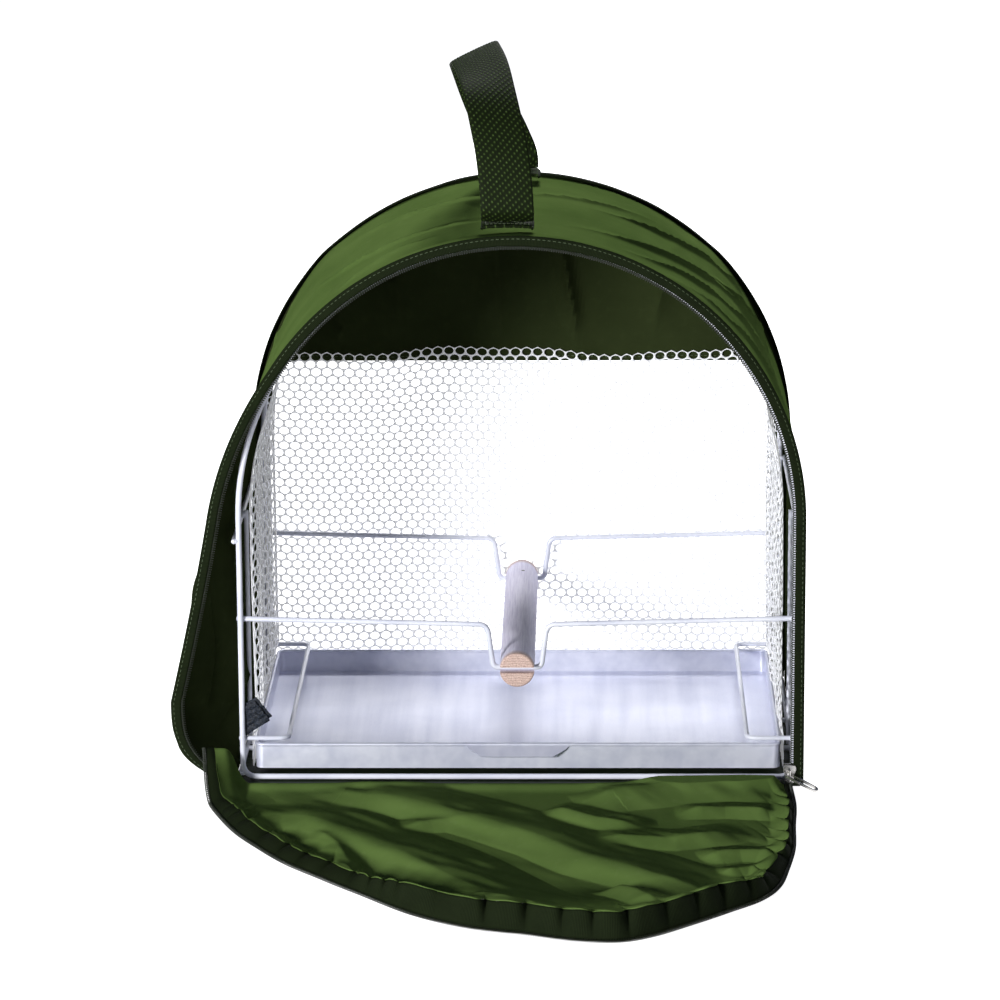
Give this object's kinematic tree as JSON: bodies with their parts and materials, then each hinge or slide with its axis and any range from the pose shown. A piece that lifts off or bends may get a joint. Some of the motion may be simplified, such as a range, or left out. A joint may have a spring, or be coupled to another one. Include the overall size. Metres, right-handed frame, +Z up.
{
  "type": "bird travel carrier",
  "caption": "Soft-sided dome carrier for a small bird: fabric bag round a welded wire frame, with a fold-down zipped front panel, net windows, wooden perch, pull-out tray and webbing handle.",
  "frame": {"origin": "middle of the floor panel's underside, on the surface that the carrier stands on", "axes": "+Z up, -Y out of the doorway, +X to the right of someone looking in"},
  "size_m": [0.4103, 0.5464, 0.4663],
  "materials": {
    "coated_wire": "white powder coat on steel wire",
    "dowel": "weathered bare dowel",
    "tray_steel": "pale satin sheet steel",
    "net": "white knotted net",
    "zip_metal": "plated slider and pull",
    "zip_coil": "dark green coil teeth",
    "webbing": "dark green woven tape",
    "tie": "black hook-and-loop tape",
    "floor_fabric": "dark green coated cloth over a stiffener",
    "bag_fabric": "dark green coated nylon"
  },
  "bodies": {
    "bag_and_frame": {"front_hoop": "coated_wire", "rear_hoop": "coated_wire", "base_rail_left": "coated_wire", "base_rail_right": "coated_wire", "mid_rail_left": "coated_wire", "mid_rail_right": "coated_wire", "shoulder_rail_left": "coated_wire", "shoulder_rail_right": "coated_wire", "side_wire_left": "coated_wire", "side_wire_right": "coated_wire", "cross_wires_floor": "coated_wire", "tray_loop_left": "coated_wire", "tray_loop_right": "coated_wire", "perch_rod_front": "coated_wire", "perch_rod_rear": "coated_wire", "perch": "dowel", "gusset": "bag_fabric", "bag_floor": "floor_fabric", "back_panel": "bag_fabric", "back_net": "net", "side_net_left": "net", "side_net_right": "net", "rear_binding": "webbing", "zip_tape_body": "webbing", "zip_teeth_body": "zip_coil", "handle_patch_front": "webbing", "handle_patch_rear": "webbing", "tie_strap": "tie"},
    "tray": {"tray": "tray_steel"},
    "front_panel": {"flap_panel": "bag_fabric", "zip_tape_flap": "webbing", "zip_teeth_flap": "zip_coil"},
    "zip_slider": {"zip_slider": "zip_metal"},
    "zip_pull": {"zip_pull": "zip_metal"},
    "handle": {"handle_strap": "webbing"}
  },
  "joints": [
    {"name": "tray_slide", "type": "slide", "parent": "bag_and_frame", "child": "tray", "axis": [0, -1, 0], "range_m": [0, 0.2]},
    {"name": "flap_hinge", "type": "hinge", "parent": "bag_and_frame", "child": "front_panel", "pos_m": [0, -0.1227, 0.0015], "axis": [-1, 0, 0], "range_deg": [0, 88], "deforming": ["flap_panel", "zip_tape_flap", "zip_teeth_flap"]},
    {"name": "slider_travel", "type": "slide", "parent": "bag_and_frame", "child": "zip_slider", "axis": [0, 0, 1], "range_m": [0, 0.15]},
    {"name": "pull_swing", "type": "hinge", "parent": "zip_slider", "child": "zip_pull", "pos_m": [0.17245, -0.12805, 0.009], "axis": [0, 0, 1], "range_deg": [-150, 22]},
    {"name": "handle_swing", "type": "hinge", "parent": "bag_and_frame", "child": "handle", "pos_m": [0, 0, 0.3598], "axis": [0, 1, 0], "range_deg": [-75, 75], "deforming": ["handle_strap"]}
  ]
}
